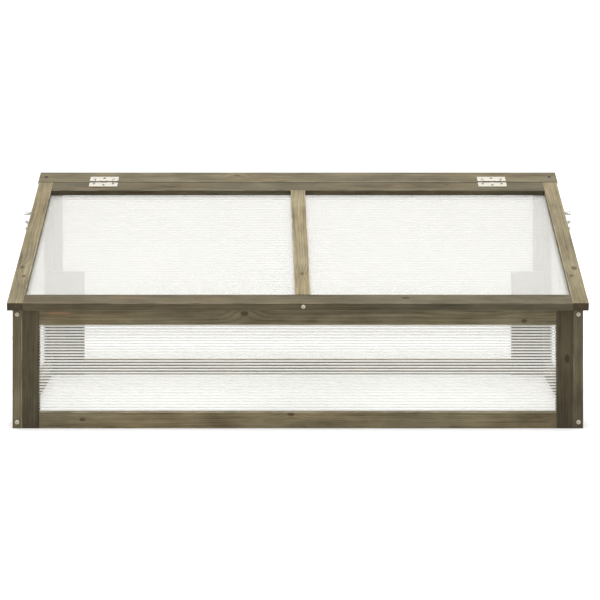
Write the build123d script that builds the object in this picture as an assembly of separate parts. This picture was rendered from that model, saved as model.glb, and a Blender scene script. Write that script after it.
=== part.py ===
from build123d import *
import math
import os

# A wooden cold frame: four glazed panels under a sloping glazed lid, which is hinged to a board at the back.
# Millimetres. X runs left to right, Y front to back, Z up. The origin is on the ground, under the middle.

# Overall size
LID_WIDTH = 1100.0
BASE_WIDTH = 1082.0
OVERALL_DEPTH = 585.0
BASE_DEPTH = 555.0
OVERALL_HEIGHT = 428.0
SLOPE_DEG = 18.0

# Timber
PANEL_T = 18.0
BOARD_T = 16.0
LID_REST_GAP = 0.3
LID_T = BOARD_T - LID_REST_GAP
ARRIS = 0.8
SIDE_STILE = 32.0
FRONT_STILE = 33.0
BACK_STILE = 20.0
BOTTOM_RAIL = 31.0
TOP_RAIL = 32.0
BACK_TOP_RAIL = 16.0
LID_STILE = 30.0
LID_FRONT_RAIL = 36.0
LID_REAR_RAIL = 40.0
GLAZING_BAR = 30.0
GLAZING_BAR_LEAN = 9.5
HINGE_BOARD_DEPTH = 50.0
HINGE_BOARD_WIDTH = 1104.0
SEAM_GAP = 3.0
CORNER_BOARD_WIDTH = 68.0
CORNER_BOARD_HEIGHT = 220.0

# Twin-wall sheet
SHEET_T = 4.0
SKIN = 0.4
RIB = 0.5
FLUTE_PITCH = 5.5
GROOVE_DEPTH = 6.0
GROOVE_LIP = 3.0
GROOVE_SIDE_PLAY = 0.1
GROOVE_END_PLAY = 0.5
LID_REBATE = 9.0

# Butt hinges
HINGE_X = 412.0
HINGE_LENGTH = 60.0
KNUCKLES = 5
KNUCKLE_R = 2.6
KNUCKLE_GAP = 0.5
KNUCKLE_CLEARANCE = 2.0
HINGE_PIN_R = 1.4
HINGE_PIN_BEVEL = 0.35
LEAF_WIDTH = 25.0
LEAF_T = 1.2
LEAF_SCREWS = ((-20.0, 11.0), (0.0, 17.0), (20.0, 11.0))
RUNNING_PLAY = 0.06

# Screws: head radius, head height, shank radius
FRAME_SCREW = (4.0, 2.2, 1.75)
SMALL_SCREW = (2.6, 1.3, 1.3)
FRAME_SCREW_LENGTH = 40.0
CORNER_SCREW_LENGTH = 30.0
BOARD_SCREW_LENGTH = 30.0
LID_CORNER_SCREW_LENGTH = 50.0
BAR_SCREW_LENGTH = 55.0
SMALL_SCREW_LENGTH = 9.0
HEAD_SUNK = 1.0
SCREW_PLAY = 0.05

# Shape of a screw, as shares of its head's radius or height, or of its shank's radius
HEAD_ROUNDING = 0.55
POINT_BEVEL = 0.6
RECESS_REACH = 0.62
RECESS_HALF_WIDTH = 0.15
RECESS_DEPTH = 0.6
PIT_R = 0.33
PIT_DEPTH = 0.8

# Where the screws go: levels are over the lid's top face. Corner screws have front (-1) and back (1) heights.
FRAME_SCREW_X = 532.0
LOW_SCREW_Z = 11.5
FRONT_SCREW_Z = 216.0
REAR_SCREW_Z = 388.0
CORNER_SCREW_Z = {-1: (70.0, 170.0), 1: (70.0, 320.0)}
BOARD_SCREW_X = 537.0
LID_CORNER_SCREW_LEVEL = -6.0
BAR_SCREW_X = 10.5
BAR_SCREW_LEVEL = -7.5
SHEET_SCREW_X = (-480.0, -240.0, 240.0, 480.0)
SHEET_SCREW_SHARES = (0.25, 0.5, 0.75)
FRONT_PANEL_CLEARANCE = 1.2

# Lid stays: distances along the slope and square to it are from the hinge line on the lid's top face
STAY_UPPER = (-138.0, -8.0)
STAY_LOWER_ALONG = -132.2
STUD_R = 2.5
STUD_BEVEL = 0.6
STUD_END_X = 561.0
UPPER_STUD_INNER_X = 532.0
LOWER_STUD_INNER_X = 527.0
SLOT_PLAY = 0.2
SLOT_END_PLAY = 0.6
STAY_T = 2.0
STAY_WIDTH = 14.0
STAY_BEVEL = 0.25
STAY_GAP = 0.5
SPACER_R = 5.0
SPACER_END_PLAY = 0.3
LID_OPEN_DEG = 70.0
NUT_GAP = 0.3
NUT_HUB_R = 4.5
NUT_HUB_TOP_R = 3.6
NUT_HUB_LENGTH = 6.5

# Wings of a wing nut: the middles of a wing's two ends, as distances out from the axis and up from the seat
WING_T = 1.8
WING_TIP_R = 3.0
WING_ROOT = (3.0, 3.2)
WING_TIP = (7.0, 10.0)

# Both studs of a stay are equally far from the hinge pin, so the arm turns by half the lid's angle
STAY_RADIUS = math.hypot(STAY_UPPER[0], STAY_UPPER[1] - KNUCKLE_R)
STAY_LOWER = (STAY_LOWER_ALONG, KNUCKLE_R - math.sqrt(STAY_RADIUS**2 - STAY_LOWER_ALONG**2))

# Cutting shapes: far enough to pass the whole object, far enough to pass any one piece, and just past a face
FAR = 2000.0
THROUGH = 60.0
OVERCUT = 1.0

SIN = math.sin(math.radians(SLOPE_DEG))
COS = math.cos(math.radians(SLOPE_DEG))
SLOPE_LENGTH = (OVERALL_DEPTH - BOARD_T * SIN) / COS
LID_LENGTH = SLOPE_LENGTH - HINGE_BOARD_DEPTH - SEAM_GAP
HINGE_LINE = LID_LENGTH + SEAM_GAP / 2
SIDE_X = BASE_WIDTH / 2
SIDE_INNER_X = SIDE_X - PANEL_T
END_Y = BASE_DEPTH / 2
END_INNER_Y = END_Y - PANEL_T
CORNER_SCREW_Y = END_Y - PANEL_T / 2
STAY_X = LID_WIDTH / 2 + STAY_GAP
NUT_X = STAY_X + STAY_T + NUT_GAP

# Work planes. SLOPE: x across, y up the slope, z out of the lid's top face. ACROSS and ALONG stand upright.
SLOPE = Plane(
    origin=(0, -OVERALL_DEPTH / 2, OVERALL_HEIGHT - SLOPE_LENGTH * SIN),
    x_dir=(1, 0, 0),
    z_dir=(0, -SIN, COS),
)
ACROSS = Plane(origin=(0, 0, 0), x_dir=(1, 0, 0), z_dir=(0, -1, 0))
ALONG = Plane(origin=(0, 0, 0), x_dir=(0, 1, 0), z_dir=(1, 0, 0))


def block(x, y, z):
    """A box between three pairs of limits."""
    limits = [sorted(pair) for pair in (x, y, z)]
    size = [high - low for low, high in limits]
    centre = [(low + high) / 2 for low, high in limits]
    return Pos(*centre) * Box(*size)


def eased(shape, axis):
    """Takes the sharp arrises off the long edges of a timber."""
    return chamfer(shape.edges().filter_by(axis), ARRIS)


def above_slope(level):
    """Everything above a plane parallel to the lid, level millimetres over its top face."""
    return SLOPE.location * block((-FAR, FAR), (-FAR, FAR), (level, level + FAR))


def left_and_right(right):
    """The right-hand piece and its mirror image."""
    return mirror(right, about=Plane.YZ), right


def grown(pair, amount):
    """A pair of limits, moved apart by amount at each end."""
    return pair[0] - amount, pair[1] + amount


def twin_wall(x, y, z):
    """Twin-wall sheet: two skins square to z, joined by ribs, with the flutes along x."""
    count = int((y[1] - y[0]) / FLUTE_PITCH) - 1
    start = (y[0] + y[1] - count * FLUTE_PITCH) / 2
    cells = []
    for index in range(count):
        low = start + index * FLUTE_PITCH + RIB / 2
        cells.append(block(grown(x, OVERCUT), (low, low + FLUTE_PITCH - RIB), grown(z, -SKIN)))
    return block(x, y, z) - cells


# Fasteners: each is drawn along +Z, out of the face it is driven into, which is at z = 0

def screw(size, length, sunk=0.0):
    """A pan-head wood screw with a cross recess."""
    head_r, head_h, shank_r = size
    head = Pos(0, 0, -sunk) * extrude(Circle(head_r), head_h)
    head = fillet(head.edges().sort_by(Axis.Z)[-1], head_h * HEAD_ROUNDING)
    shank = Pos(0, 0, -sunk) * extrude(Circle(shank_r), -length)
    shank = chamfer(shank.edges().sort_by(Axis.Z)[0], shank_r * POINT_BEVEL)
    top = head_h - sunk
    arm = head_r * RECESS_REACH
    half = head_r * RECESS_HALF_WIDTH
    recess = (top - head_h * RECESS_DEPTH, top + OVERCUT)
    slots = [block((-arm, arm), (-half, half), recess), block((-half, half), (-arm, arm), recess)]
    pit = Pos(0, 0, top - head_h * PIT_DEPTH) * extrude(Circle(head_r * PIT_R), head_h)
    return (head + shank) - [*slots, pit]


def screw_hole(size, length, sunk=0.0):
    """The hole and the seat that a screw sits in."""
    head_r, head_h, shank_r = size
    hole = Pos(0, 0, OVERCUT) * extrude(Circle(shank_r + SCREW_PLAY), -(length + sunk + 2 * OVERCUT))
    if sunk > 0:
        hole += Pos(0, 0, -sunk) * extrude(Circle(head_r + SCREW_PLAY), sunk + head_h)
    return hole


def aim(point, direction):
    """The place of a fastener: a point on the face, and the way its head looks."""
    return Plane(origin=point, z_dir=direction).location


def placed(shape, places):
    """Copies of one fastener at each place, as one group of separate solids."""
    return Compound([place * shape for place in places])


def on_slope(x, along, level):
    """A point given on the lid's slope, in the frame of the whole object."""
    return SLOPE.from_local_coords(Vector(x, along, level))


def frame_screw_places():
    """The screws driven through the side stiles' edges, into the ends of the side rails."""
    places = []
    for side in (-1, 1):
        for height in (LOW_SCREW_Z, FRONT_SCREW_Z):
            places.append(aim((side * FRAME_SCREW_X, -END_Y, height), (0, -1, 0)))
        for height in (LOW_SCREW_Z, REAR_SCREW_Z):
            places.append(aim((side * FRAME_SCREW_X, END_Y, height), (0, 1, 0)))
    return places


def corner_screw_places():
    """The screws that hold the side panels to the front and back panels."""
    places = []
    for side in (-1, 1):
        for end in (-1, 1):
            for height in CORNER_SCREW_Z[end]:
                places.append(aim((side * SIDE_X, end * CORNER_SCREW_Y, height), (side, 0, 0)))
    return places


def board_screw_places():
    """The screws that hold the hinge board down on the side panels."""
    along = SLOPE_LENGTH - HINGE_BOARD_DEPTH / 2
    return [aim(on_slope(side * BOARD_SCREW_X, along, 0), SLOPE.z_dir) for side in (-1, 1)]


def lid_corner_places():
    """The screws through the lid's stiles, into the ends of its rails."""
    places = []
    for side in (-1, 1):
        for along in (LID_FRONT_RAIL / 2, LID_LENGTH - LID_REAR_RAIL / 2):
            point = on_slope(side * LID_WIDTH / 2, along, LID_CORNER_SCREW_LEVEL)
            places.append(aim(point, (side, 0, 0)))
    return places


def bar_screw_place():
    """The screw through the lid's front rail, into the end of the glazing bar."""
    return aim(on_slope(BAR_SCREW_X, 0, BAR_SCREW_LEVEL), -SLOPE.y_dir)


def sheet_screw_places():
    """The screws that hold the lid's sheet up against its rebate and the glazing bar."""
    front = LID_FRONT_RAIL - LID_REBATE / 2 + FRONT_PANEL_CLEARANCE
    rear = LID_LENGTH - LID_REAR_RAIL + LID_REBATE / 2
    spots = [(x, along) for x in SHEET_SCREW_X for along in (front, rear)]
    bar_length = LID_LENGTH - LID_FRONT_RAIL - LID_REAR_RAIL
    for share in SHEET_SCREW_SHARES:
        spots.append((GLAZING_BAR_LEAN * (1 - share), LID_FRONT_RAIL + share * bar_length))
    return [aim(on_slope(x, along, -LID_T), -SLOPE.z_dir) for x, along in spots]


def leaf_screw_places(side):
    """The screws of both hinge leaves on one side of the hinge line: 1 is the board, -1 is the lid."""
    places = []
    for centre in (-HINGE_X, HINGE_X):
        for x, away in LEAF_SCREWS:
            places.append(aim(on_slope(centre + x, HINGE_LINE + side * away, LEAF_T), SLOPE.z_dir))
    return places


def stay_point(where, x=0.0):
    """A point of the stays' linkage, in the frame of the whole object."""
    return on_slope(x, HINGE_LINE + where[0], where[1])


def holes(size, length, places, sunk=0.0):
    """Screw holes at each place."""
    return [place * screw_hole(size, length, sunk) for place in places]


def stud_hole(where, inner_x):
    """Left and right holes for a stay stud."""
    hole = extrude(Circle(STUD_R + SCREW_PLAY), THROUGH)
    return [aim(stay_point(where, side * inner_x), (side, 0, 0)) * hole for side in (-1, 1)]


BASE_HOLES = (
    holes(FRAME_SCREW, FRAME_SCREW_LENGTH, frame_screw_places(), HEAD_SUNK)
    + holes(FRAME_SCREW, CORNER_SCREW_LENGTH, corner_screw_places(), HEAD_SUNK)
    + holes(FRAME_SCREW, BOARD_SCREW_LENGTH, board_screw_places(), HEAD_SUNK)
    + holes(SMALL_SCREW, SMALL_SCREW_LENGTH, leaf_screw_places(1))
    + stud_hole(STAY_LOWER, LOWER_STUD_INNER_X)
)
LID_HOLES = (
    holes(FRAME_SCREW, LID_CORNER_SCREW_LENGTH, lid_corner_places(), HEAD_SUNK)
    + holes(FRAME_SCREW, BAR_SCREW_LENGTH, [bar_screw_place()], HEAD_SUNK)
    + holes(SMALL_SCREW, SMALL_SCREW_LENGTH, sheet_screw_places())
    + holes(SMALL_SCREW, SMALL_SCREW_LENGTH, leaf_screw_places(-1))
    + stud_hole(STAY_UPPER, UPPER_STUD_INNER_X)
)


# Base panels

def side_panel():
    """The right-hand side panel, by piece."""
    x = (SIDE_INNER_X, SIDE_X)
    z = (0, OVERALL_HEIGHT)
    stile_y = END_Y - SIDE_STILE
    sheet_outer = SIDE_X - GROOVE_LIP
    rail_bottom = -BOARD_T - TOP_RAIL
    sheet_y = grown((-stile_y, stile_y), GROOVE_DEPTH)
    sheet_z = (BOTTOM_RAIL - GROOVE_DEPTH, OVERALL_HEIGHT)
    sheet_x = (sheet_outer - SHEET_T, sheet_outer)
    sheet = ALONG.location * twin_wall(sheet_y, sheet_z, sheet_x) - above_slope(rail_bottom + GROOVE_DEPTH)
    groove = block(
        grown(sheet_x, GROOVE_SIDE_PLAY),
        grown(sheet_y, GROOVE_END_PLAY),
        grown(sheet_z, GROOVE_END_PLAY),
    ) - above_slope(rail_bottom + GROOVE_DEPTH + GROOVE_END_PLAY)
    top_rail = eased(block(x, (-FAR, FAR), (rail_bottom, -BOARD_T)), Axis.Y)
    top_rail = (SLOPE.location * top_rail) & block(x, (-stile_y, stile_y), z)
    timbers = {
        "front_stile": eased(block(x, (-END_Y, -stile_y), z), Axis.Z) - above_slope(-BOARD_T),
        "rear_stile": eased(block(x, (stile_y, END_Y), z), Axis.Z) - above_slope(-BOARD_T),
        "bottom_rail": eased(block(x, (-stile_y, stile_y), (0, BOTTOM_RAIL)), Axis.Y),
        "top_rail": top_rail,
    }
    pieces = {name: timber - groove - BASE_HOLES for name, timber in timbers.items()}
    pieces["glazing"] = sheet
    return pieces


END_PANEL_PIECES = ("left_stile", "right_stile", "top_rail", "bottom_rail", "glazing")


def end_panel(end, names):
    """The front panel (end -1) or the back panel (end 1), which stand between the side panels."""
    y = sorted((end * END_INNER_Y, end * END_Y))
    stile_width, rail_height = (FRONT_STILE, TOP_RAIL) if end < 0 else (BACK_STILE, BACK_TOP_RAIL)
    stile_x = SIDE_INNER_X - stile_width
    top = above_slope(-BOARD_T)
    edge_y = -END_Y if end < 0 else END_INNER_Y
    rise = (edge_y + OVERALL_DEPTH / 2) * SIN / COS
    rail_top = SLOPE.origin.Z + rise - BOARD_T / COS
    rail_bottom = rail_top - rail_height
    sheet_outer = END_Y - GROOVE_LIP
    sheet_x = grown((-stile_x, stile_x), GROOVE_DEPTH)
    sheet_z = grown((BOTTOM_RAIL, rail_bottom), GROOVE_DEPTH)
    sheet_y = sorted((end * (sheet_outer - SHEET_T), end * sheet_outer))
    groove = block(
        grown(sheet_x, GROOVE_END_PLAY),
        grown(sheet_y, GROOVE_SIDE_PLAY),
        grown(sheet_z, GROOVE_END_PLAY),
    )
    stile = eased(block((stile_x, SIDE_INNER_X), y, (0, OVERALL_HEIGHT)), Axis.Z) - top
    left, right = left_and_right(stile)
    top_rail = eased(block((-stile_x, stile_x), y, (rail_bottom, OVERALL_HEIGHT)) - top, Axis.X)
    bottom_rail = eased(block((-stile_x, stile_x), y, (0, BOTTOM_RAIL)), Axis.X)
    pieces = {}
    for name, timber in zip(names, (left, right, top_rail, bottom_rail)):
        pieces[name] = timber - groove - BASE_HOLES
    sheet_depth = (-sheet_y[1], -sheet_y[0])
    pieces[names[-1]] = ACROSS.location * twin_wall(sheet_x, sheet_z, sheet_depth)
    return pieces


def corner_board():
    """The short board inside the right-hand rear corner."""
    x = (SIDE_INNER_X - CORNER_BOARD_WIDTH, SIDE_INNER_X)
    return eased(block(x, (END_INNER_Y - BOARD_T, END_INNER_Y), (0, CORNER_BOARD_HEIGHT)), Axis.Z)


def hinge_board():
    """The board across the back that carries the fixed hinge leaves."""
    x = (-HINGE_BOARD_WIDTH / 2, HINGE_BOARD_WIDTH / 2)
    along = (SLOPE_LENGTH - HINGE_BOARD_DEPTH, SLOPE_LENGTH)
    return SLOPE.location * eased(block(x, along, (-BOARD_T, 0)), Axis.X) - BASE_HOLES


# Lid

def lid_pieces():
    """The lid's timbers and its sheet, drawn on the slope."""
    stile_x = LID_WIDTH / 2 - LID_STILE
    rear = LID_LENGTH - LID_REAR_RAIL
    sheet_x = grown((-stile_x, stile_x), LID_REBATE)
    sheet_y = grown((LID_FRONT_RAIL, rear), LID_REBATE)
    sheet_z = (-LID_T, -LID_T + SHEET_T)
    rebate = block(
        grown(sheet_x, GROOVE_END_PLAY),
        grown(sheet_y, GROOVE_END_PLAY),
        (-LID_T - OVERCUT, -LID_T + SHEET_T),
    )
    left, right = left_and_right(eased(block((stile_x, LID_WIDTH / 2), (0, LID_LENGTH), (-LID_T, 0)), Axis.Y))
    half = GLAZING_BAR / 2
    outline = Polyline(
        (GLAZING_BAR_LEAN - half, LID_FRONT_RAIL),
        (GLAZING_BAR_LEAN + half, LID_FRONT_RAIL),
        (half, rear),
        (-half, rear),
        close=True,
    )
    bar = extrude(make_face(outline), SHEET_T - LID_T)
    bar = chamfer(bar.edges().group_by(Axis.Z)[-1].sort_by(Axis.X)[0], ARRIS)
    bar = chamfer(bar.edges().group_by(Axis.Z)[-1].sort_by(Axis.X)[-1], ARRIS)
    timbers = {
        "lid_left_stile": left,
        "lid_right_stile": right,
        "lid_front_rail": eased(block((-stile_x, stile_x), (0, LID_FRONT_RAIL), (-LID_T, 0)), Axis.X),
        "lid_rear_rail": eased(block((-stile_x, stile_x), (rear, LID_LENGTH), (-LID_T, 0)), Axis.X),
        "lid_glazing_bar": bar,
    }
    pieces = {}
    for name, timber in timbers.items():
        pieces[name] = SLOPE.location * (timber - rebate) - LID_HOLES
    sheet_holes = holes(SMALL_SCREW, SMALL_SCREW_LENGTH, sheet_screw_places())
    pieces["lid_glazing"] = SLOPE.location * twin_wall(sheet_x, sheet_y, sheet_z) - sheet_holes
    return pieces


# Hinges

def across_rod(radius, length):
    """A rod along X, centred on the origin."""
    return Rot(0, 90, 0) * Cylinder(radius, length)


def hinge_leaf(side, own):
    """A leaf with its own knuckles, drawn about the pin: side 1 lies on the board and side -1 on the lid."""
    half = HINGE_LENGTH / 2
    span = HINGE_LENGTH / KNUCKLES
    leaf = block((-half, half), (0, side * LEAF_WIDTH), (-KNUCKLE_R, LEAF_T - KNUCKLE_R))
    clear_r = KNUCKLE_R + KNUCKLE_CLEARANCE
    for index in range(KNUCKLES):
        low = -half + index * span
        if index in own:
            leaf += Pos(low + span / 2, 0, 0) * across_rod(KNUCKLE_R, span - 2 * KNUCKLE_GAP)
        else:
            leaf -= block(grown((low, low + span), KNUCKLE_GAP), (-clear_r, clear_r), (-clear_r, clear_r))
    leaf -= across_rod(HINGE_PIN_R + RUNNING_PLAY, HINGE_LENGTH + 2 * OVERCUT)
    shank_r = SMALL_SCREW[2]
    for x, away in LEAF_SCREWS:
        leaf -= Pos(x, side * away, 0) * Cylinder(shank_r + SCREW_PLAY, THROUGH)
    return leaf


def on_hinge(centre_x, shape):
    """Places a shape drawn about the pin on one of the hinges."""
    return SLOPE.location * (Pos(centre_x, HINGE_LINE, KNUCKLE_R) * shape)


def hinge_pieces(name, centre_x, fixed_knuckles):
    """The two leaves and the pin of one hinge."""
    moving_knuckles = [index for index in range(KNUCKLES) if index not in fixed_knuckles]
    pin = chamfer(across_rod(HINGE_PIN_R, HINGE_LENGTH).edges().filter_by(GeomType.CIRCLE), HINGE_PIN_BEVEL)
    return {
        name + "_fixed_leaf": on_hinge(centre_x, hinge_leaf(1, fixed_knuckles)),
        name + "_moving_leaf": on_hinge(centre_x, hinge_leaf(-1, moving_knuckles)),
        name + "_pin": on_hinge(centre_x, pin),
    }


# Lid stays

def stay_distance(lid_angle):
    """How far apart the two studs are when the lid is open by lid_angle degrees."""
    upper = Vector(STAY_UPPER[0], STAY_UPPER[1] - KNUCKLE_R)
    lower = Vector(STAY_LOWER[0], STAY_LOWER[1] - KNUCKLE_R)
    start = math.asin((upper - lower).length / (2 * upper.length))
    return 2 * upper.length * math.sin(start + math.radians(lid_angle) / 2)


def stay_arm():
    """The right-hand stay arm, drawn from its pivot along -Y, then hung on its stud."""
    near = stay_distance(0) - SLOT_END_PLAY
    far = stay_distance(LID_OPEN_DEG) + SLOT_END_PLAY
    end_r = STAY_WIDTH / 2
    plate = Pos(0, -far / 2) * SlotCenterToCenter(far, STAY_WIDTH, rotation=90)
    slot = Pos(0, -(near + far) / 2) * SlotCenterToCenter(far - near, 2 * (STUD_R + SLOT_PLAY), rotation=90)
    arm = extrude(plate - slot - Circle(STUD_R + RUNNING_PLAY), STAY_T)
    rounds = arm.edges().filter_by(GeomType.CIRCLE)
    arm = chamfer(rounds.filter_by(lambda edge: edge.radius == end_r), STAY_BEVEL)
    down = stay_point(STAY_LOWER) - stay_point(STAY_UPPER)
    hang = Plane(origin=stay_point(STAY_UPPER, STAY_X), x_dir=Vector(1, 0, 0).cross(down), z_dir=(1, 0, 0))
    return hang.location * arm


def stud(where, inner_x):
    """A right-hand threaded stud."""
    rod = extrude(Circle(STUD_R), STUD_END_X - inner_x)
    rod = chamfer(rod.edges().sort_by(Axis.Z)[-1], STUD_BEVEL)
    return aim(stay_point(where, inner_x), (1, 0, 0)) * rod


def stay_spacer():
    """The collar that holds the right-hand arm off the side panel."""
    collar = extrude(Circle(SPACER_R) - Circle(STUD_R + RUNNING_PLAY), STAY_X - SIDE_X - SPACER_END_PLAY)
    return aim(stay_point(STAY_LOWER, SIDE_X), (1, 0, 0)) * collar


def wing_nut(where, turn):
    """A right-hand wing nut: a tapered hub with two wings that flare outwards."""
    nut = Pos(0, 0, NUT_HUB_LENGTH / 2) * Cone(NUT_HUB_R, NUT_HUB_TOP_R, NUT_HUB_LENGTH)
    for side in (-1, 1):
        root = Vector(side * WING_ROOT[0], WING_ROOT[1])
        tip = Vector(side * WING_TIP[0], WING_TIP[1])
        wing = extrude(SlotCenterPoint((root + tip) * 0.5, tip, 2 * WING_TIP_R), WING_T / 2, both=True)
        nut += Rot(90, 0, 0) * wing
    nut -= Cylinder(STUD_R + RUNNING_PLAY, THROUGH)
    return Plane(origin=stay_point(where, NUT_X), x_dir=turn, z_dir=(1, 0, 0)).location * nut


def all_nodes():
    """Every piece of the cold frame, by name."""
    nodes = {}
    for name, right in side_panel().items():
        nodes["side_left_" + name], nodes["side_right_" + name] = left_and_right(right)
    for end, place in ((-1, "front"), (1, "back")):
        nodes.update(end_panel(end, [place + "_" + piece for piece in END_PANEL_PIECES]))
    nodes["corner_board_left"], nodes["corner_board_right"] = left_and_right(corner_board())
    nodes["hinge_board"] = hinge_board()
    nodes.update(lid_pieces())
    nodes.update(hinge_pieces("hinge_left", -HINGE_X, (0, 2, 4)))
    nodes.update(hinge_pieces("hinge_right", HINGE_X, (1, 3)))
    frame_screws = {
        "frame_screws": (FRAME_SCREW_LENGTH, frame_screw_places()),
        "corner_screws": (CORNER_SCREW_LENGTH, corner_screw_places()),
        "hinge_board_screws": (BOARD_SCREW_LENGTH, board_screw_places()),
        "lid_frame_screws": (LID_CORNER_SCREW_LENGTH, lid_corner_places()),
        "glazing_bar_screw": (BAR_SCREW_LENGTH, [bar_screw_place()]),
    }
    for name, (length, places) in frame_screws.items():
        nodes[name] = placed(screw(FRAME_SCREW, length, HEAD_SUNK), places)
    small_screws = {
        "lid_glazing_screws": sheet_screw_places(),
        "fixed_leaf_screws": leaf_screw_places(1),
        "moving_leaf_screws": leaf_screw_places(-1),
    }
    for name, places in small_screws.items():
        nodes[name] = placed(screw(SMALL_SCREW, SMALL_SCREW_LENGTH), places)
    right_hand = {
        "stay_upper_stud": stud(STAY_UPPER, UPPER_STUD_INNER_X),
        "stay_lower_stud": stud(STAY_LOWER, LOWER_STUD_INNER_X),
        "stay_spacer": stay_spacer(),
        "stay_arm": stay_arm(),
        "upper_wing_nut": wing_nut(STAY_UPPER, (0, COS, SIN)),
        "lower_wing_nut": wing_nut(STAY_LOWER, (0, 0, 1)),
    }
    for name, right in right_hand.items():
        nodes[name + "_left"], nodes[name + "_right"] = left_and_right(right)
    return nodes


os.makedirs("parts", exist_ok=True)
for node_name, node_shape in all_nodes().items():
    export_step(node_shape, f"parts/{node_name}.step")
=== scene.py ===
"""The looks of a wooden cold frame: stained timber, twin-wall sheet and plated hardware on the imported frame.

Patterns are worked out in the row frame at rest, so they stay with a piece whatever pose the part is in.
"""

import math
import random

import bpy
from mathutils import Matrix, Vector


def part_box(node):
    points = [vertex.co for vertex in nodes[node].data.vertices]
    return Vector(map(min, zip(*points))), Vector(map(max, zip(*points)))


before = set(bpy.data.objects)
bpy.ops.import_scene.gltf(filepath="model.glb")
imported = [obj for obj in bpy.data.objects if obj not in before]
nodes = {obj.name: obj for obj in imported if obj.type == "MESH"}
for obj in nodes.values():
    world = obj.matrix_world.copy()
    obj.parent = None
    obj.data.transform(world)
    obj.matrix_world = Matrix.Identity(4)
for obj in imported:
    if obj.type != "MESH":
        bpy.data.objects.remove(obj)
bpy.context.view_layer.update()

MM = 0.001
X_AXIS = Vector((1, 0, 0))
Y_AXIS = Vector((0, 1, 0))
Z_AXIS = Vector((0, 0, 1))

# Camera: level, far in front of the frame and higher than it, with its lens shifted down
CAMERA_PLACE = Vector((0.0, -4.5325, 0.916))
CAMERA_LENS = 134.7
CAMERA_SENSOR = 36.0
CAMERA_SHIFT = (0.0036, -0.5917)
CAMERA_PLACE_SLACK = 0.001

# Studio: a pale floor, a broad lamp straight above, and a sky that brightens from the horizon up
LAMP_STRENGTH = 4.6
LAMP_ANGLE_DEG = 50.0
HORIZON = 0.0
ZENITH = 1.0
SKY_LOW = 0.30
SKY_HIGH = 1.0
FLOOR_SIZE = 120.0
FLOOR_GAP = 0.3 * MM
FLOOR_ALBEDO = 0.55
FLOOR_GLOW = 0.16

# How many surfaces light may pass through, or bounce from
TRANSPARENT_BOUNCES = 64
MAX_BOUNCES = 12
DIFFUSE_BOUNCES = 6

# A name ending in RAMP holds the two values a ramp lies between, then what it gives there if not 0 and 1

# Timber stain. A member's tone scales these colours.
STAIN_DARK = (0.47, 0.370, 0.190)
STAIN_LIGHT = (1.32, 1.130, 0.675)
STAIN_KNOT = (0.40, 0.27, 0.14)
STAIN_RESIN = (1.75, 1.08, 0.58)
# Pale arrises: partly worn stain, partly a painted highlight where light catches the edge
STAIN_WORN_AND_HIGHLIGHT = (2.9, 2.6, 1.85)

# These multiply the stain, in warmer patches and on end grain
WARM_TINT = (1.10, 0.97, 0.83, 1.0)
END_TINT = (0.36, 0.33, 0.30, 1.0)

# Noise in the wood: its scale along the grain and across it, its detail and its roughness
DRIFT = (1.5, 7, 2.0, 0.55)
WOBBLE = (14, 60, 2.0, 0.55)
FIBRE = (16, 900, 3.0, 0.7)
BAND = (5, 260, 3.0, 0.6)
BLOTCH = (11, 30, 3.0, 0.6)
WARMTH = (3, 12, 1.0, 0.55)
WEAR_AND_HIGHLIGHT = (20, 60, 3.0, 0.55)
NOISE_MIDDLE = 0.5
NOISE_SHIFT = 9

# Growth rings, round a pith away from the member's middle and swayed by noise. Each darkens, then ends.
RING_SPACING = 2.7 * MM
PITH_ACROSS_MM = (10, 34)
PITH_DEEP_MM = (16, 40)
RING_DRIFT = 20 * MM
RING_WOBBLE = 1.6 * MM
LATE_RAMP = (0.30, 0.86)
RING_END_RAMP = (1.0, 0.90)

# Knots and resin. A knot pushes the rings aside by a share of its radius, over a wake larger than itself.
KNOT_RAMP = (0.25, 0.62)
KNOT_COVER = 0.85
KNOT_WAKE_WIDTH = 2.6
KNOT_WAKE_STRETCH = 1.3
KNOT_PUSH = 1.1
RESIN_RAMP = (0.2, 0.75, 0.0, 0.7)

# Lightness of the stain, 0 to 1: without late wood, what late wood adds, and how far each noise sways it
LIGHT_BASE = 0.63
LIGHT_LATE = -0.30
LIGHT_FIBRE = 1.0
LIGHT_BAND = 1.25
LIGHT_BLOTCH = 1.7
WARM_RAMP = (0.42, 0.66, 0.0, 0.55)

# Edges: an arris leans to both cross directions, and an end faces along the grain
ARRIS_RAMP = (0.30, 0.45)
WEAR_AND_HIGHLIGHT_RAMP = (0.40, 0.62, 0.25, 0.9)
END_RAMP = (0.75, 0.92)

# Timber surface
RELIEF_FIBRE = 0.6
RELIEF_LATE = -0.25
TIMBER_BUMP = 0.35
TIMBER_BUMP_HEIGHT = 0.4 * MM
TIMBER_ROUGHNESS = 0.58
TIMBER_ROUGHNESS_SWAY = 0.25
TIMBER_SPECULAR = 0.22

# Twin-wall sheet. A wave, 1 at every rib and -1 midway, puts a stripe over each rib. RIB_RAMP tells a rib's
# faces by how squarely they look across the flutes. SHADOW_LOSS is what the milk loses for light from a lamp.
FLUTE_PITCH = 5.5 * MM
STRIPE_WAVE = (-0.35, -0.02)
RIB_RAMP = (0.6, 0.8)
SHADOW_LOSS = -0.72
MILK_TINT = (1.0, 0.995, 0.96)
MILK_PASSED_ON = 0.5
CLEAR_TINT = 0.985
GLOSS_ROUGHNESS = 0.12
GLOSS_IOR = 1.25
GLOSS_CAP = 0.05

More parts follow.
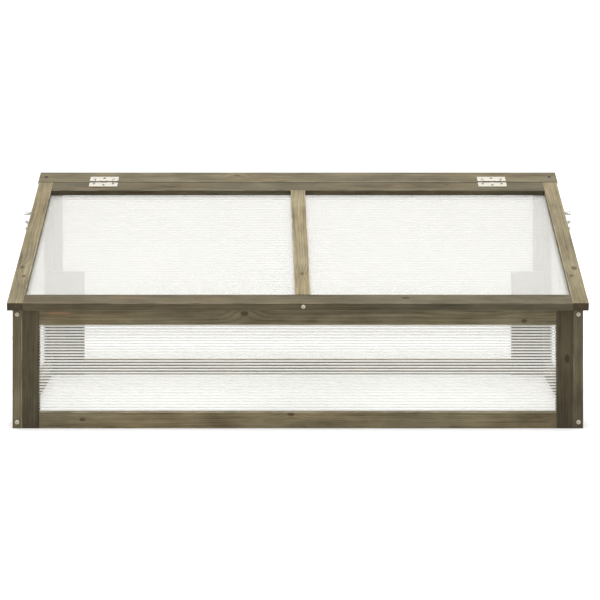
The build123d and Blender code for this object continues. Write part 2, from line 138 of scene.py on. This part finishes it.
# Plating. CLOUD and PIT are noises: scale, detail and roughness. A SHADE scales the plating's own colour.
CLOUD = (420.0, 4.0, 0.6)
PIT = (1900.0, 2.0, 0.55)
PIT_RAMP = (0.60, 0.72)
PIT_COVER = 0.35
PIT_RELIEF = -0.5
GRIME_FROM = 0.45
GRIME_TO = 0.75
GRIME_SHADE = 0.45
# Painted shade: the plating darkens in knuckle gaps, screw recesses and other hollows that ambient occlusion
# finds
RECESS_PAINTED_SHADE = 0.12
RECESS_REACH = 1.5 * MM
RECESS_SAMPLES = 8
RECESS_RAMP = (0.35, 0.80, 0.9, 0.0)
PLATING_BUMP = 0.25
PLATING_BUMP_HEIGHT = 0.15 * MM
PLATING_ROUGHNESS_SWAY = 0.25


def slope_direction():
    """The way up the lid, from the lie of the glazing bar's largest face."""
    faces = nodes["lid_glazing_bar"].data.polygons
    normal = max(faces, key=lambda face: face.area).normal
    along = normal.cross(X_AXIS).normalized()
    return along if along.y > 0 else -along


SLOPE = slope_direction()
SLOPE_NORMAL = X_AXIS.cross(SLOPE)


class Shader:
    """A node material, built by short calls that return sockets."""

    def __init__(self, name):
        self.material = bpy.data.materials.new(name)
        self.material.use_nodes = True
        self.tree = self.material.node_tree
        self.tree.nodes.clear()

    def add(self, kind, inputs=None, **settings):
        """Adds a node, sets its properties and its inputs, and returns it."""
        node = self.tree.nodes.new(kind)
        for key, value in settings.items():
            setattr(node, key, value)
        for key, value in (inputs or {}).items():
            self.set(node.inputs[key], value)
        return node

    def set(self, socket, value):
        """Links a socket to another, or gives it a value."""
        if isinstance(value, bpy.types.NodeSocket):
            self.tree.links.new(value, socket)
        else:
            socket.default_value = value

    def math(self, operation, *values, clamp=False):
        """A number worked out from one, two or three others."""
        node = self.add("ShaderNodeMath", operation=operation, use_clamp=clamp)
        for socket, value in zip(node.inputs, values):
            self.set(socket, value)
        return node.outputs[0]

    def vector(self, operation, *values, output=0):
        """A vector, or a number, worked out from vectors."""
        node = self.add("ShaderNodeVectorMath", operation=operation)
        for socket, value in zip(node.inputs, values):
            self.set(socket, value)
        return node.outputs[output]

    def dot(self, vector, direction):
        return self.vector("DOT_PRODUCT", vector, direction, output="Value")

    def ramp(self, value, low, high, to_low=0.0, to_high=1.0):
        """Maps low..high to to_low..to_high, smoothly and clamped."""
        inputs = {0: value, 1: low, 2: high, 3: to_low, 4: to_high}
        return self.add("ShaderNodeMapRange", inputs, interpolation_type="SMOOTHSTEP").outputs[0]

    def sway(self, value, noise, reach, clamp=False):
        """Raises or lowers a value as a noise is above or below its middle."""
        offset = self.math("SUBTRACT", noise, NOISE_MIDDLE)
        return self.math("MULTIPLY_ADD", offset, reach, value, clamp=clamp)

    def noise(self, vector, scale, detail, rough):
        inputs = {"Vector": vector, "Scale": scale, "Detail": detail, "Roughness": rough}
        return self.add("ShaderNodeTexNoise", inputs).outputs["Fac"]

    def bump(self, height, strength, distance):
        inputs = {"Height": height, "Strength": strength, "Distance": distance}
        return self.add("ShaderNodeBump", inputs).outputs[0]

    def mix(self, factor, first, second, blend="MIX"):
        """A colour between two others. The node keeps its colours in inputs 6 and 7 and output 2."""
        node = self.add("ShaderNodeMix", data_type="RGBA", blend_type=blend)
        for index, value in ((0, factor), (6, first), (7, second)):
            self.set(node.inputs[index], value)
        return node.outputs[2]

    def combine(self, x, y, z):
        return self.add("ShaderNodeCombineXYZ", {0: x, 1: y, 2: z}).outputs[0]

    def finish(self, surface):
        output = self.add("ShaderNodeOutputMaterial")
        self.tree.links.new(surface, output.inputs["Surface"])
        return self.material


def own_position(shader):
    """The point being shaded, in the row frame at rest."""
    return shader.add("ShaderNodeTexCoord").outputs["Object"]


def own_normal(shader):
    """The flat face's normal, in the row frame at rest."""
    geometry = shader.add("ShaderNodeNewGeometry").outputs["True Normal"]
    settings = {"vector_type": "NORMAL", "convert_from": "WORLD", "convert_to": "OBJECT"}
    return shader.add("ShaderNodeVectorTransform", {0: geometry}, **settings).outputs[0]


def grey(value):
    return (value, value, value, 1.0)


def scaled(colour, share):
    """A colour made darker or lighter, with the fourth channel that sockets take."""
    return (*(channel * share for channel in colour), 1.0)


def centre_of(name):
    low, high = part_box(name)
    return (low + high) / 2


class Wood:
    """One member's own directions, along its grain and across it, and the patterns laid out in them."""

    def __init__(self, shader, name, grain, faces):
        seed = random.Random(name)
        spot = shader.vector("SUBTRACT", own_position(shader), centre_of(name))
        self.shader = shader
        self.along, self.across, self.depth = (shader.dot(spot, axis) for axis in (grain, *faces))
        self.shift = [seed.uniform(-NOISE_SHIFT, NOISE_SHIFT) for _ in range(3)]
        self.pith = [
            seed.choice((-1, 1)) * seed.uniform(*reach) * MM
            for reach in (PITH_ACROSS_MM, PITH_DEEP_MM)
        ]

    def noise(self, pattern):
        """Noise that differs on every member. The point holds its scales, so the noise's own scale is 1."""
        long_scale, cross_scale, detail, rough = pattern
        point = self.shader.combine(
            self.shader.math("MULTIPLY", self.along, long_scale),
            self.shader.math("MULTIPLY", self.across, cross_scale),
            self.shader.math("MULTIPLY", self.depth, cross_scale),
        )
        return self.shader.noise(self.shader.vector("ADD", point, self.shift), 1.0, detail, rough)

    def spot(self, place, side, radius, stretch):
        """1 in the middle of a spot and fading out past its radius, which is longer along the grain."""
        parts = (
            self.shader.math("DIVIDE", self.shader.math("SUBTRACT", self.along, place), radius * stretch),
            self.shader.math("DIVIDE", self.shader.math("SUBTRACT", self.across, side), radius),
        )
        squares = [self.shader.math("POWER", self.shader.math("ABSOLUTE", part), 2.0) for part in parts]
        total = self.shader.math("ADD", *squares)
        return self.shader.math("EXPONENT", self.shader.math("MULTIPLY", total, -1.0))

    def from_pith(self):
        """The distance from the pith, which the rings follow."""
        across = self.shader.math("SUBTRACT", self.across, self.pith[0])
        depth = self.shader.math("SUBTRACT", self.depth, self.pith[1])
        return self.shader.vector("LENGTH", self.shader.combine(0.0, across, depth), output="Value")


def growth_rings(wood, knots):
    """Where the wood is late wood, and where it is knot. Knots push the rings aside."""
    shader = wood.shader
    reach = wood.from_pith()
    for pattern, sway in ((DRIFT, RING_DRIFT), (WOBBLE, RING_WOBBLE)):
        offset = shader.math("SUBTRACT", wood.noise(pattern), NOISE_MIDDLE)
        reach = shader.math("ADD", reach, shader.math("MULTIPLY", offset, sway))
    knotty = 0.0
    for place, side, radius, stretch in knots:
        wake = wood.spot(place, side, radius * KNOT_WAKE_WIDTH, stretch * KNOT_WAKE_STRETCH)
        reach = shader.math("ADD", reach, shader.math("MULTIPLY", wake, radius * KNOT_PUSH))
        knot = wood.spot(place, side, radius, stretch)
        knotty = shader.math("MAXIMUM", knotty, shader.ramp(knot, *KNOT_RAMP))
    ring = shader.math("FRACT", shader.math("DIVIDE", reach, RING_SPACING))
    late = shader.math("MULTIPLY", shader.ramp(ring, *LATE_RAMP), shader.ramp(ring, *RING_END_RAMP))
    return late, knotty


def stained(wood, tone, late, fibre):
    """The stain on plain wood: lighter and darker with the grain, and warmer in patches."""
    shader = wood.shader
    light = shader.math("MULTIPLY_ADD", late, LIGHT_LATE, LIGHT_BASE)
    light = shader.sway(light, fibre, LIGHT_FIBRE)
    light = shader.sway(light, wood.noise(BAND), LIGHT_BAND)
    light = shader.sway(light, wood.noise(BLOTCH), LIGHT_BLOTCH, clamp=True)
    colour = shader.mix(light, scaled(STAIN_DARK, tone), scaled(STAIN_LIGHT, tone))
    return shader.mix(shader.ramp(wood.noise(WARMTH), *WARM_RAMP), colour, WARM_TINT, "MULTIPLY")


def marked(wood, colour, tone, knotty, streaks):
    """The stain with resin streaks and dark knots in it."""
    shader = wood.shader
    for streak in streaks:
        colour = shader.mix(shader.ramp(wood.spot(*streak), *RESIN_RAMP), colour, scaled(STAIN_RESIN, tone))
    return shader.mix(shader.math("MULTIPLY", knotty, KNOT_COVER), colour, scaled(STAIN_KNOT, tone))


def edged(wood, colour, tone, grain, faces):
    """The stain made pale along arrises, partly as wear and partly as a painted highlight, and dark on end
    grain.
    """
    shader = wood.shader
    normal = own_normal(shader)
    sides = [shader.math("ABSOLUTE", shader.dot(normal, axis)) for axis in faces]
    arris = shader.ramp(shader.math("MULTIPLY", *sides), *ARRIS_RAMP)
    # The pale arris is partly wear and partly a painted highlight
    wear_and_highlight = shader.math("MULTIPLY", arris, shader.ramp(wood.noise(WEAR_AND_HIGHLIGHT), *WEAR_AND_HIGHLIGHT_RAMP))
    colour = shader.mix(wear_and_highlight, colour, scaled(STAIN_WORN_AND_HIGHLIGHT, tone))
    end = shader.ramp(shader.math("ABSOLUTE", shader.dot(normal, grain)), *END_RAMP)
    return shader.mix(end, colour, END_TINT, "MULTIPLY")


def timber(name, grain, faces, tone, knots, streaks):
    """Stained softwood for one member."""
    shader = Shader("timber_" + name)
    wood = Wood(shader, name, grain, faces)
    late, knotty = growth_rings(wood, knots)
    fibre = wood.noise(FIBRE)
    colour = stained(wood, tone, late, fibre)
    colour = marked(wood, colour, tone, knotty, streaks)
    colour = edged(wood, colour, tone, grain, faces)
    relief = shader.math("MULTIPLY_ADD", fibre, RELIEF_FIBRE, shader.math("MULTIPLY", late, RELIEF_LATE))
    body = shader.add("ShaderNodeBsdfPrincipled", {
        "Base Color": colour,
        "Roughness": shader.math("MULTIPLY_ADD", fibre, TIMBER_ROUGHNESS_SWAY, TIMBER_ROUGHNESS),
        "Specular IOR Level": TIMBER_SPECULAR,
        "Normal": shader.bump(relief, TIMBER_BUMP, TIMBER_BUMP_HEIGHT),
    })
    return shader.finish(body.outputs[0])


# Every timber: its grain direction, its two cross directions, its tone, then knots and resin streaks as
# (place along, place across, radius, stretch) from the member's middle, in metres
UPRIGHT = (Z_AXIS, (X_AXIS, Y_AXIS))
ACROSS_BASE = (X_AXIS, (Z_AXIS, Y_AXIS))
ALONG_BASE = (Y_AXIS, (Z_AXIS, X_AXIS))
UP_SLOPE = (SLOPE, (X_AXIS, SLOPE_NORMAL))
SIDE_SLOPE = (SLOPE, (SLOPE_NORMAL, X_AXIS))
ACROSS_SLOPE = (X_AXIS, (SLOPE, SLOPE_NORMAL))

TIMBERS = {
    "hinge_board": (ACROSS_SLOPE, 0.108, ((-0.130, 0.006, 0.004, 1.8), (0.262, -0.009, 0.003, 1.6)), ()),
    "lid_rear_rail": (ACROSS_SLOPE, 0.087, ((-0.267, -0.004, 0.004, 2.0), (0.315, 0.006, 0.003, 1.6)),
                      ((-0.448, -0.010, 0.003, 9.0),)),
    "lid_front_rail": (ACROSS_SLOPE, 0.080, ((0.205, 0.004, 0.005, 1.7),), ((-0.320, 0.004, 0.004, 12.0),)),
    "lid_left_stile": (UP_SLOPE, 0.149, ((-0.126, -0.003, 0.005, 1.5), (-0.165, 0.004, 0.004, 1.5)), ()),
    "lid_right_stile": (UP_SLOPE, 0.155, ((-0.130, 0.004, 0.006, 1.5), (-0.163, -0.005, 0.004, 1.6)), ()),
    "lid_glazing_bar": (UP_SLOPE, 0.182, ((-0.152, 0.004, 0.004, 1.8),), ()),
    "front_top_rail": (ACROSS_BASE, 0.159, ((-0.101, 0.003, 0.005, 1.7), (0.429, -0.011, 0.004, 1.5)),
                       ((-0.452, 0.004, 0.0032, 8.0),)),
    "front_bottom_rail": (ACROSS_BASE, 0.168, ((-0.408, 0.001, 0.004, 1.6), (-0.013, 0.011, 0.004, 1.9)), ()),
    "front_left_stile": (UPRIGHT, 0.073, (), ()),
    "front_right_stile": (UPRIGHT, 0.063, ((0.015, 0.004, 0.005, 1.7),), ()),
    "side_left_front_stile": (UPRIGHT, 0.140, (), ()),
    "side_right_front_stile": (UPRIGHT, 0.105, (), ()),
    "side_left_rear_stile": (UPRIGHT, 0.165, ((0.060, 0.002, 0.005, 1.6),), ()),
    "side_right_rear_stile": (UPRIGHT, 0.170, (), ()),
    "side_left_bottom_rail": (ALONG_BASE, 0.180, ((0.110, 0.004, 0.004, 1.7),), ()),
    "side_right_bottom_rail": (ALONG_BASE, 0.174, ((-0.090, -0.003, 0.005, 1.7),), ()),
    "side_left_top_rail": (SIDE_SLOPE, 0.176, ((-0.080, 0.003, 0.004, 1.8),), ()),
    "side_right_top_rail": (SIDE_SLOPE, 0.182, ((0.060, -0.005, 0.005, 1.7),), ()),
    "back_left_stile": (UPRIGHT, 0.150, (), ()),
    "back_right_stile": (UPRIGHT, 0.156, ((-0.080, 0.003, 0.004, 1.8),), ()),
    "back_top_rail": (ACROSS_BASE, 0.170, ((0.210, 0.002, 0.005, 1.8),), ()),
    "back_bottom_rail": (ACROSS_BASE, 0.170, ((-0.240, -0.003, 0.005, 1.7),), ()),
    "corner_board_left": (UPRIGHT, 0.130, (), ()),
    "corner_board_right": (UPRIGHT, 0.130, ((0.030, 0.009, 0.006, 1.5),), ()),
}


def rib_phase(name, direction):
    """Where the ribs of a sheet lie along a direction: most of its corners are beside a rib."""
    total = complex(0, 0)
    for vertex in nodes[name].data.vertices:
        angle = 2 * math.pi * vertex.co.dot(direction) / FLUTE_PITCH
        total += complex(math.cos(angle), math.sin(angle))
    return math.atan2(total.imag, total.real) * FLUTE_PITCH / (2 * math.pi)


def sheet_veil(shader, name, direction, outward, skin_veil, stripe_veil, rib_veil):
    """How milky a sheet is at a point: its skins, a stripe over each rib on the outer one, and its ribs."""
    spot = own_position(shader)
    place = shader.math("SUBTRACT", shader.dot(spot, direction), rib_phase(name, direction))
    wave = shader.math("COSINE", shader.math("MULTIPLY", place, 2 * math.pi / FLUTE_PITCH))
    striped = shader.ramp(wave, *STRIPE_WAVE, skin_veil, stripe_veil)
    outer = shader.math("GREATER_THAN", shader.dot(spot, outward), centre_of(name).dot(outward))
    skin = shader.math("MULTIPLY_ADD", outer, shader.math("SUBTRACT", striped, skin_veil), skin_veil)
    facing = shader.math("ABSOLUTE", shader.dot(own_normal(shader), direction))
    rib = shader.ramp(facing, *RIB_RAMP)
    rib_part = shader.math("MULTIPLY", rib, rib_veil)
    skin_part = shader.math("MULTIPLY", shader.math("SUBTRACT", 1.0, rib), skin)
    return shader.math("ADD", rib_part, skin_part)


def twin_wall(name, direction, outward, skin_veil, stripe_veil, rib_veil, white):
    """Twin-wall sheet: clear plastic with a milky film on it and a weak gloss."""
    shader = Shader("sheet_" + name)
    veil = sheet_veil(shader, name, direction, outward, skin_veil, stripe_veil, rib_veil)
    lit = shader.add("ShaderNodeLightPath").outputs["Is Shadow Ray"]
    veil = shader.math("MULTIPLY", veil, shader.math("MULTIPLY_ADD", lit, SHADOW_LOSS, 1.0))
    milky = scaled(MILK_TINT, white)
    front = shader.add("ShaderNodeBsdfDiffuse", {"Color": milky}).outputs[0]
    through = shader.add("ShaderNodeBsdfTranslucent", {"Color": milky}).outputs[0]
    milk = shader.add("ShaderNodeMixShader", {0: MILK_PASSED_ON, 1: front, 2: through}).outputs[0]
    clear = shader.add("ShaderNodeBsdfTransparent", {"Color": grey(CLEAR_TINT)}).outputs[0]
    film = shader.add("ShaderNodeMixShader", {0: veil, 1: clear, 2: milk}).outputs[0]
    gloss = shader.add("ShaderNodeBsdfGlossy", {"Color": grey(1.0), "Roughness": GLOSS_ROUGHNESS}).outputs[0]
    shine = shader.add("ShaderNodeFresnel", {"IOR": GLOSS_IOR}).outputs[0]
    shine = shader.math("MULTIPLY", shine, shader.math("SUBTRACT", 1.0, lit))
    shine = shader.math("MINIMUM", shine, GLOSS_CAP)
    return shader.finish(shader.add("ShaderNodeMixShader", {0: shine, 1: film, 2: gloss}).outputs[0])


# Every sheet: the direction across its flutes, and its outward side. Then how milky its skins, its stripes
# and its ribs are, from 0 for clear to 1 for solid, and how white the milk is.
SHEETS = {
    "front_glazing": (Z_AXIS, -Y_AXIS, 0.005, 0.70, 0.50, 0.88),
    "back_glazing": (Z_AXIS, Y_AXIS, 0.02, 0.35, 0.35, 0.86),
    "side_left_glazing": (Z_AXIS, -X_AXIS, 0.01, 0.16, 0.22, 0.84),
    "side_right_glazing": (Z_AXIS, X_AXIS, 0.01, 0.16, 0.22, 0.84),
    "lid_glazing": (SLOPE, SLOPE_NORMAL, 0.18, 0.27, 0.24, 0.70),
}


def plated(name, colour, metallic, roughness, grime):
    """Plated steel with uneven brightness, small pits, and painted shade that darkens its recesses."""
    shader = Shader(name)
    spot = own_position(shader)
    cloud = shader.noise(spot, *CLOUD)
    pit = shader.ramp(shader.noise(spot, *PIT), *PIT_RAMP)
    dirty = scaled(colour, GRIME_SHADE)
    tint = shader.mix(shader.ramp(cloud, GRIME_FROM, GRIME_TO, 0.0, grime), (*colour, 1.0), dirty)
    tint = shader.mix(shader.math("MULTIPLY", pit, PIT_COVER), tint, dirty)
    # Painted shade in the recesses, found by ambient occlusion
    occlusion = shader.add("ShaderNodeAmbientOcclusion", {"Distance": RECESS_REACH}, samples=RECESS_SAMPLES)
    painted_recess_shade = shader.ramp(occlusion.outputs["AO"], *RECESS_RAMP)
    tint = shader.mix(painted_recess_shade, tint, scaled(colour, RECESS_PAINTED_SHADE))
    height = shader.math("MULTIPLY_ADD", pit, PIT_RELIEF, cloud)
    body = shader.add("ShaderNodeBsdfPrincipled", {
        "Base Color": tint,
        "Metallic": metallic,
        "Roughness": shader.math("MULTIPLY_ADD", cloud, PLATING_ROUGHNESS_SWAY, roughness),
        "Normal": shader.bump(height, PLATING_BUMP, PLATING_BUMP_HEIGHT),
    })
    return shader.finish(body.outputs[0])


# Every plating: its material's name, its colour, how metallic, how rough and how grimy it is
HARDWARE = {
    "hinge": ("hinge_plating", (0.44, 0.42, 0.36), 0.50, 0.34, 0.60),
    "leaf_screw": ("leaf_screw_plating", (0.26, 0.24, 0.20), 0.55, 0.36, 0.50),
    "screw": ("screw_plating", (0.64, 0.60, 0.50), 0.50, 0.32, 0.40),
    "dark": ("dark_screw", (0.06, 0.055, 0.05), 0.60, 0.45, 0.40),
    "stay": ("stay_plating", (0.55, 0.55, 0.55), 0.85, 0.24, 0.45),
}


def hardware_kind(name):
    """The plating that a fitting has."""
    if name == "hinge_board_screws" or name.endswith("_pin"):
        return "dark"
    if "leaf_screws" in name:
        return "leaf_screw"
    if "screw" in name:
        return "screw"
    if name.startswith("hinge_"):
        return "hinge"
    return "stay"


def dress(name, material):
    """Gives a CAD node one material."""
    slots = nodes[name].data.materials
    slots.clear()
    slots.append(material)


def dress_all():
    """Puts a finished material on every CAD node."""
    for name, ((grain, faces), tone, knots, streaks) in TIMBERS.items():
        dress(name, timber(name, grain, faces, tone, knots, streaks))
    for name, settings in SHEETS.items():
        dress(name, twin_wall(name, *settings))
    hardware = {kind: plated(*settings) for kind, settings in HARDWARE.items()}
    for name in nodes:
        if name not in TIMBERS and name not in SHEETS:
            dress(name, hardware[hardware_kind(name)])


def lay_floor():
    """A wide pale floor that glows a little, just under the frame."""
    half = FLOOR_SIZE / 2
    corners = [(-half, -half, 0), (half, -half, 0), (half, half, 0), (-half, half, 0)]
    mesh = bpy.data.meshes.new("floor")
    mesh.from_pydata([Vector(corner) - Z_AXIS * FLOOR_GAP for corner in corners], [], [(0, 1, 2, 3)])
    floor = bpy.data.objects.new("floor", mesh)
    bpy.context.scene.collection.objects.link(floor)
    shader = Shader("floor")
    paint = shader.add("ShaderNodeBsdfPrincipled", {
        "Base Color": grey(FLOOR_ALBEDO),
        "Roughness": 1.0,
        "Specular IOR Level": 0.0,
        "Emission Color": grey(1.0),
        "Emission Strength": FLOOR_GLOW,
    })
    mesh.materials.append(shader.finish(paint.outputs[0]))


def hang_lamp():
    """A broad soft light from straight above."""
    lamp = bpy.data.lights.new("overhead", "SUN")
    lamp.energy = LAMP_STRENGTH
    lamp.angle = math.radians(LAMP_ANGLE_DEG)
    bpy.context.scene.collection.objects.link(bpy.data.objects.new("overhead", lamp))


def raise_sky():
    """A white sky that is brighter overhead than at the horizon."""
    world = bpy.data.worlds.new("studio")
    world.use_nodes = True
    tree = world.node_tree
    where = tree.nodes.new("ShaderNodeTexCoord")
    split = tree.nodes.new("ShaderNodeSeparateXYZ")
    tree.links.new(where.outputs["Generated"], split.inputs[0])
    rise = tree.nodes.new("ShaderNodeMapRange")
    for index, value in enumerate((HORIZON, ZENITH, SKY_LOW, SKY_HIGH), start=1):
        rise.inputs[index].default_value = value
    tree.links.new(split.outputs["Z"], rise.inputs[0])
    sky = tree.nodes["Background"]
    sky.inputs["Color"].default_value = grey(1.0)
    tree.links.new(rise.outputs[0], sky.inputs["Strength"])
    bpy.context.scene.world = world


def shift_only_in_place(camera, channel, value):
    """Shifts the lens while the camera stands at its own place, and not when it is moved round the object."""
    driver = camera.data.driver_add(channel).driver
    driver.type = "SCRIPTED"
    for axis in "XYZ":
        variable = driver.variables.new()
        variable.name = axis.lower()
        variable.type = "TRANSFORMS"
        variable.targets[0].id = camera
        variable.targets[0].transform_type = "LOC_" + axis
        variable.targets[0].transform_space = "WORLD_SPACE"
    in_place = [
        f"abs({axis} - {place:.4f}) < {CAMERA_PLACE_SLACK}"
        for axis, place in zip("xyz", CAMERA_PLACE)
    ]
    driver.expression = f"{value} if " + " and ".join(in_place) + " else 0.0"


def place_camera():
    """A long, level lens in front of the frame."""
    data = bpy.data.cameras.new("camera")
    data.lens = CAMERA_LENS
    data.sensor_width = CAMERA_SENSOR
    data.clip_end = 2 * FLOOR_SIZE
    camera = bpy.data.objects.new("camera", data)
    camera.location = CAMERA_PLACE
    camera.rotation_euler = (math.radians(90), 0, 0)
    bpy.context.scene.collection.objects.link(camera)
    bpy.context.scene.camera = camera
    for channel, value in zip(("shift_x", "shift_y"), CAMERA_SHIFT):
        shift_only_in_place(camera, channel, value)


dress_all()
lay_floor()
hang_lamp()
raise_sky()
place_camera()
scene = bpy.context.scene
scene.view_settings.view_transform = "Standard"
scene.cycles.transparent_max_bounces = TRANSPARENT_BOUNCES
scene.cycles.max_bounces = MAX_BOUNCES
scene.cycles.diffuse_bounces = DIFFUSE_BOUNCES
